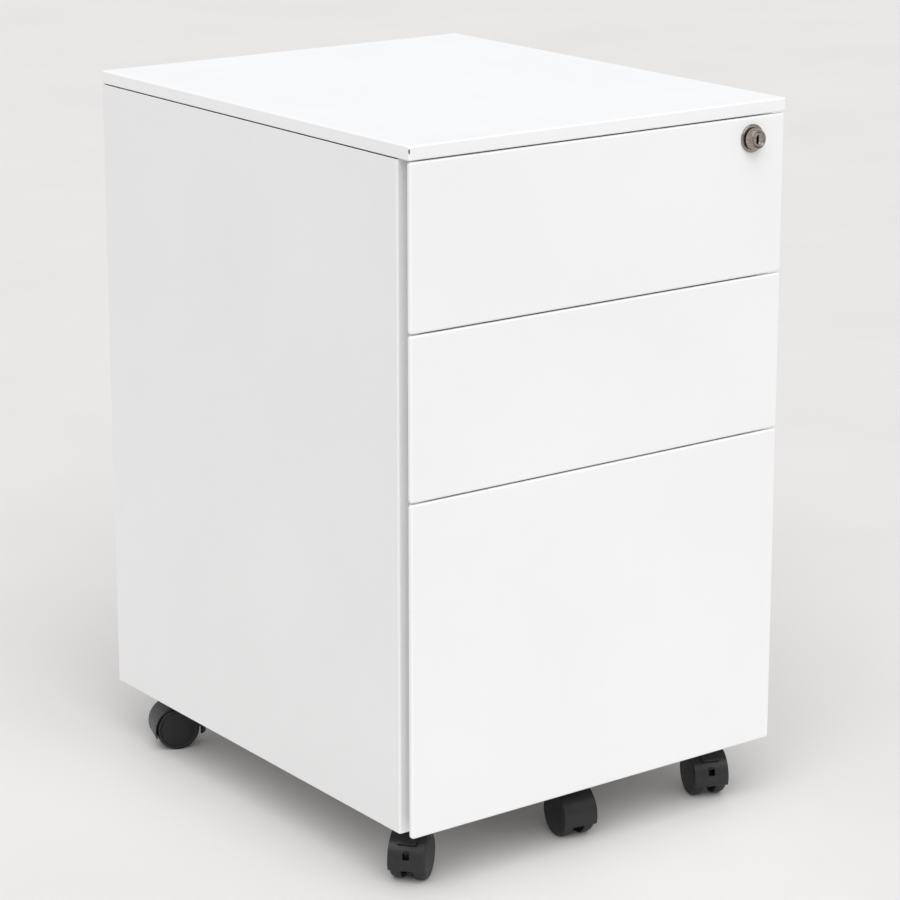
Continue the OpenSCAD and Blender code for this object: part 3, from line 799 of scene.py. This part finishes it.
KEPT = {
    "zinc_steel": ["uprights_left", "uprights_right", "top_screws", "lock_bar", "caster_stems", "weld_nuts",
                   "hanging_rails", "file_caster_bracket", "file_caster_stem", "file_weld_nut", "lock_nut",
                   "lock_cam", "cam_screw", *(f"axle_{c}" for c in CASTERS)],
    "body_paint": ["back_panel", "base_pan", "top_rails", "front_liner_top", "front_liner_middle",
                   "front_liner_file"],
    "grey_plastic": ["lock_bar_guides"],
}


def kept_nodes():
    for slot, names in KEPT.items():
        for name in names:
            obj = frame["nodes"][name]
            obj.data.materials.clear()
            obj.data.materials.append(MATERIALS[slot])
            round_edges(obj, CUT_EDGE)


# ---- Studio ----

def soft_sun(name, comes_from, strength, spread):
    light = bpy.data.lights.new(name, "SUN")
    light.energy = strength
    light.angle = radians(spread)
    obj = bpy.data.objects.new(name, light)
    bpy.context.scene.collection.objects.link(obj)
    obj.rotation_euler = Vector(comes_from).to_track_quat("Z", "Y").to_euler()


def studio():
    scene = bpy.context.scene
    scene.view_settings.view_transform = "Standard"
    world = bpy.data.worlds.new("studio")
    scene.world = world
    world.use_nodes = True
    background = world.node_tree.nodes["Background"]
    background.inputs["Color"].default_value = (0.97, 0.98, 1.0, 1)
    background.inputs["Strength"].default_value = 0.6
    soft_sun("key", (-0.28, -0.46, 0.845), 2.2, 60)

    floor = bpy.data.meshes.new("floor")
    corners = [(-FLOOR_HALF, -FLOOR_HALF, 0), (FLOOR_HALF, -FLOOR_HALF, 0),
               (FLOOR_HALF, FLOOR_HALF, 0), (-FLOOR_HALF, FLOOR_HALF, 0)]
    floor.from_pydata(corners, [], [(0, 1, 2, 3)])
    n = Nodes("pale_floor")
    colour = n.mix(n.spread(n.noise(0.4, 3), 0, 1), (0.70, 0.685, 0.67), (0.73, 0.715, 0.70))
    roughness = n.spread(n.noise(0.05, 3), 0.55, 0.65)
    floor.materials.append(n.finish(colour, roughness, n.bump(n.noise(2 * MM, 2), 0.02 * MM, 0.3)))
    obj = bpy.data.objects.new("floor", floor)
    scene.collection.objects.link(obj)


def camera():
    data = bpy.data.cameras.new("camera")
    data.lens = CAMERA_LENS
    data.sensor_width = 36
    data.shift_y = CAMERA_SHIFT
    data.clip_end = 100
    obj = bpy.data.objects.new("camera", data)
    bpy.context.scene.collection.objects.link(obj)
    obj.location = CAMERA_AT
    obj.rotation_euler = (pi / 2 - CAMERA_PITCH, 0, -CAMERA_YAW)
    bpy.context.scene.camera = obj


camera()
studio()
for row in ("top", "middle", "file"):
    drawer_front(row)
    drawer_tray(row)
top_plate()
for side in (1, -1):
    side_panel(side)
slides()
lock_housing()
lock_plug()
casters()
kept_nodes()
